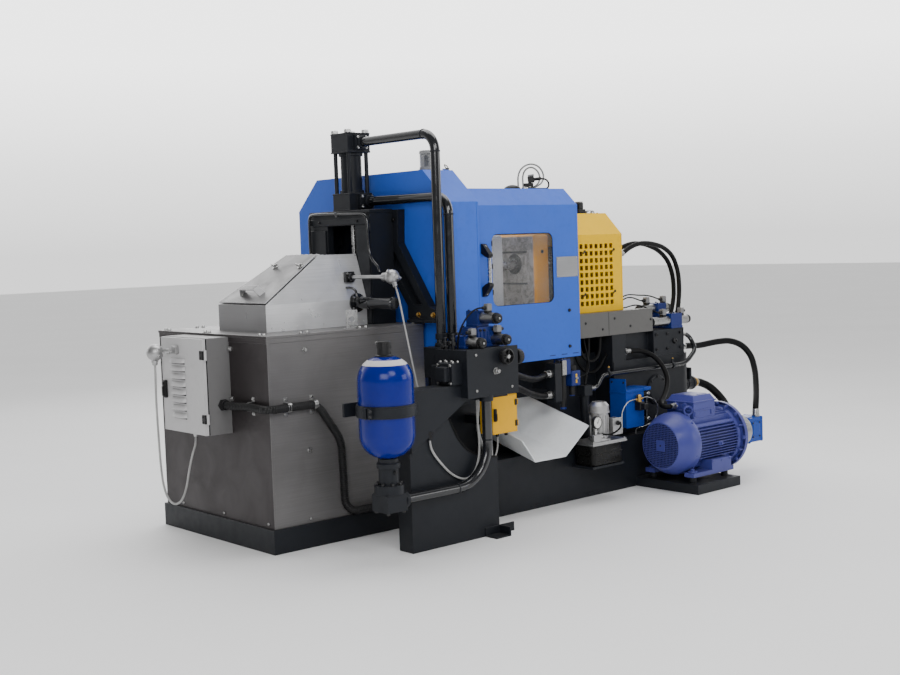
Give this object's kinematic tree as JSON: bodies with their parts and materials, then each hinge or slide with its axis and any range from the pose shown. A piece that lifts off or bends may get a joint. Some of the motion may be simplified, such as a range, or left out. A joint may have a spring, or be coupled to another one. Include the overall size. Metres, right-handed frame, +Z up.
{
  "type": "hot-chamber die casting machine",
  "caption": "Small horizontal hot-chamber die casting machine: furnace with charging hood, vertical injection cylinder, guarded clamping unit, valve stand and motor-driven hydraulic power pack.",
  "frame": {"origin": "on the floor under the centreline of the clamping base", "axes": "+X from the furnace to the motor end, -Y the operator's side, +Z up"},
  "size_m": [3.2642, 1.602, 1.853],
  "materials": {
    "accumulator_blue": "gloss paint",
    "aluminium": "cast",
    "black_plastic": "moulded",
    "black_rubber": "wrapped cover",
    "blue_paint": "satin powder coat",
    "box_blue": "gloss paint",
    "cable": "braided sheath",
    "cast_iron": "as cast",
    "charcoal_paint": "satin paint",
    "clear_sheet": "clear polycarbonate",
    "clear_tube": "polyamide tube",
    "grey_paint": "textured paint",
    "machined_steel": "ground",
    "motor_paint": "gloss paint",
    "stainless": "brushed sheet",
    "valve_blue": "gloss paint",
    "yellow_paint": "satin powder coat"
  },
  "bodies": {
    "machine": {"accumulator": "accumulator_blue", "accumulator_block": "charcoal_paint", "accumulator_clamp": "charcoal_paint", "air_tube_inner": "clear_tube", "air_tube_outer": "clear_tube", "air_unit": "valve_blue", "box_cable": "cable", "cable_bracket": "charcoal_paint", "chute": "grey_paint", "conduit": "black_plastic", "control_box": "yellow_paint", "crucible": "cast_iron", "door_guide": "grey_paint", "electrical_cabinet": "grey_paint", "fixed_platen": "grey_paint", "front_guard": "blue_paint", "furnace_base": "charcoal_paint", "furnace_hood": "stainless", "furnace_housing": "stainless", "furnace_lid": "stainless", "guard_grilles": "yellow_paint", "hydraulic_hoses": "black_rubber", "hydraulic_pump": "box_blue", "hydraulic_tank": "charcoal_paint", "injection_cylinder": "charcoal_paint", "injection_portal": "charcoal_paint", "injection_yoke": "charcoal_paint", "lube_lines": "clear_tube", "lube_pump": "aluminium", "lube_reservoir": "black_plastic", "main_base": "charcoal_paint", "motor_body": "motor_paint", "motor_cowl": "motor_paint", "oil_box": "box_blue", "pedestal": "charcoal_paint", "rear_guard": "blue_paint", "rear_platen": "charcoal_paint", "rear_window": "clear_sheet", "side_plates": "charcoal_paint", "solenoids": "aluminium", "stand_cable": "cable", "steel_pipes": "charcoal_paint", "thermocouple": "aluminium", "thermocouple_cable": "cable", "tie_bars": "machined_steel", "valve_bodies": "valve_blue", "valve_manifold": "charcoal_paint", "yellow_guard": "yellow_paint"},
    "cabinet_door": {"cabinet_door": "grey_paint", "parked_thermocouple": "aluminium", "thermocouple_lead": "cable"},
    "moving_platen": {"clamp_rod": "machined_steel", "moving_platen": "yellow_paint"},
    "control_box_door": {"control_box_door": "yellow_paint"},
    "safety_door": {"door_handle": "black_plastic", "door_window": "clear_sheet", "safety_door": "blue_paint"},
    "injection_rod": {"injection_rod": "machined_steel"},
    "loading_lid": {"loading_lid": "stainless"},
    "throttle_knob": {"throttle_knob": "black_plastic"}
  },
  "joints": [
    {"name": "safety_door_slide", "type": "slide", "parent": "machine", "child": "safety_door", "axis": [1, 0, 0], "range_m": [0, 0.45]},
    {"name": "cabinet_door_hinge", "type": "hinge", "parent": "machine", "child": "cabinet_door", "pos_m": [-1.412, -0.112, 0.71], "axis": [0, 0, 1], "range_deg": [0, 110]},
    {"name": "loading_lid_hinge", "type": "hinge", "parent": "machine", "child": "loading_lid", "pos_m": [-0.80664, 0, 1.26898], "axis": [0, 1, 0], "range_deg": [0, 125]},
    {"name": "moving_platen_slide", "type": "slide", "parent": "machine", "child": "moving_platen", "axis": [-1, 0, 0], "range_m": [0, 0.15]},
    {"name": "injection_rod_slide", "type": "slide", "parent": "machine", "child": "injection_rod", "axis": [0, 0, -1], "range_m": [0, 0.11]},
    {"name": "control_box_door_hinge", "type": "hinge", "parent": "machine", "child": "control_box_door", "pos_m": [-0.092, -0.672, 0.5], "axis": [0, 0, 1], "range_deg": [0, 100]},
    {"name": "throttle_knob_turn", "type": "hinge", "parent": "machine", "child": "throttle_knob", "pos_m": [-0.402, -0.938, 0.798], "axis": [0, -1, 0], "continuous": true}
  ]
}
